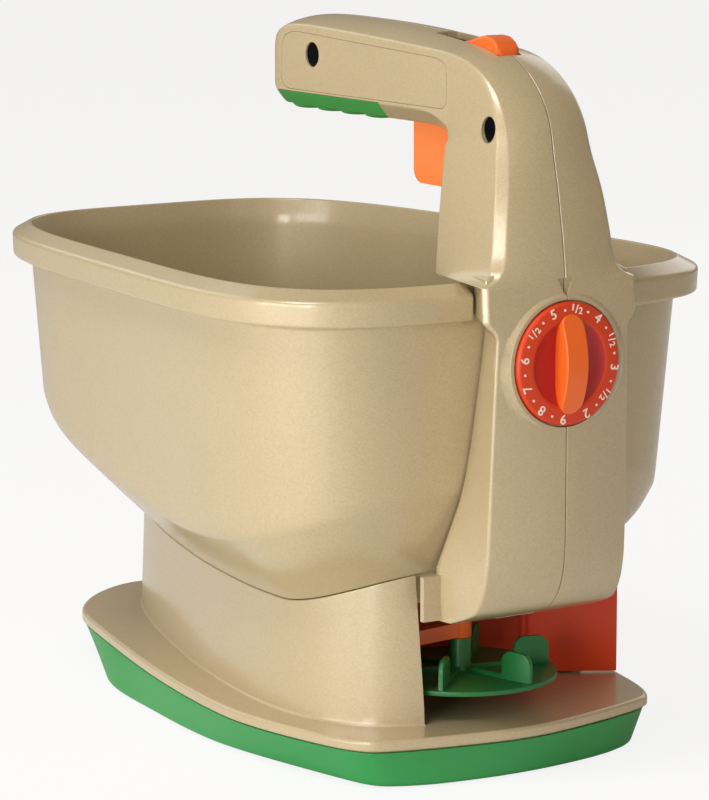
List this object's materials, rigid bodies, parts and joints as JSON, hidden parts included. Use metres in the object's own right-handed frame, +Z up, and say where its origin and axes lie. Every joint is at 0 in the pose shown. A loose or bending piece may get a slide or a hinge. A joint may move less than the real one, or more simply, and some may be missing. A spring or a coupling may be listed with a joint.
{
  "type": "handheld electric spreader",
  "caption": "Handheld battery spreader for seed and fertiliser: open hopper on a footed column, looped handle with squeeze trigger, front rate dial, spinning vaned disc behind a side guard.",
  "frame": {"origin": "middle of the base's flat underside, on the plane of symmetry", "axes": "+Z up; -Y to the front, where the dial is; +Y to the back along the hopper's length; -X to the side with the battery cover"},
  "size_m": [0.2232, 0.3476, 0.296],
  "materials": {
    "champagne_plastic": "satin, fine metallic flake",
    "green_plastic": "semi-gloss moulded",
    "soft_green": "soft-touch matt",
    "orange_plastic": "semi-gloss moulded",
    "red_plastic": "semi-gloss moulded",
    "natural_nylon": "matt moulded",
    "black_plastic": "matt moulded",
    "cell_jacket": "printed film on steel",
    "motor_steel": "plated",
    "steel": "zinc plated"
  },
  "bodies": {
    "body": {"base_tray": "green_plastic", "pedestal": "champagne_plastic", "hopper": "champagne_plastic", "left_shell": "champagne_plastic", "right_shell": "champagne_plastic", "battery_cover": "champagne_plastic", "grip_insert": "soft_green", "trigger_pin": "steel", "trigger_spring": "steel", "deflector": "red_plastic", "motor": "motor_steel", "power_switch": "black_plastic", "batteries": "cell_jacket", "battery_contacts": "steel", "base_screws": "steel", "deflector_screws": "steel", "tower_screws": "steel", "shell_screws": "steel", "motor_screws": "steel"},
    "trigger": {"trigger": "orange_plastic"},
    "rod": {"pull_rod": "natural_nylon"},
    "gate": {"flow_gate": "orange_plastic"},
    "slider": {"power_slider": "orange_plastic"},
    "dial": {"dial": "orange_plastic", "rate_cam": "natural_nylon", "dial_screw": "steel"},
    "spinner": {"spinner": "green_plastic", "drive_shaft": "steel"}
  },
  "joints": [
    {"name": "trigger_pull", "type": "hinge", "parent": "body", "child": "trigger", "pos_m": [0, -0.14, 0.243], "axis": [1, 0, 0], "range_deg": [0, 12], "stiffness_Nm_per_rad": 0.6, "springref_deg": -11.46},
    {"name": "rod_travel", "type": "slide", "parent": "body", "child": "rod", "axis": [0, 0, -1], "range_m": [0, 0.0049]},
    {"name": "gate_turn", "type": "hinge", "parent": "body", "child": "gate", "pos_m": [0, -0.107, 0.067], "axis": [0, 0, 1], "range_deg": [0, 14.01]},
    {"name": "power_slide", "type": "slide", "parent": "body", "child": "slider", "axis": [0, 1, 0], "range_m": [0, 0.01]},
    {"name": "dial_turn", "type": "hinge", "parent": "body", "child": "dial", "pos_m": [0, -0.18, 0.1695], "axis": [0, 1, 0], "range_deg": [-138, 166]},
    {"name": "spinner_spin", "type": "hinge", "parent": "body", "child": "spinner", "pos_m": [0, -0.107, 0.032], "axis": [0, 0, 1], "continuous": true}
  ],
  "couplings": [
    {"joint": "rod_travel", "follows": "trigger_pull", "m_per_rad": 0.023},
    {"joint": "gate_turn", "follows": "trigger_pull", "ratio": 1.1666}
  ]
}
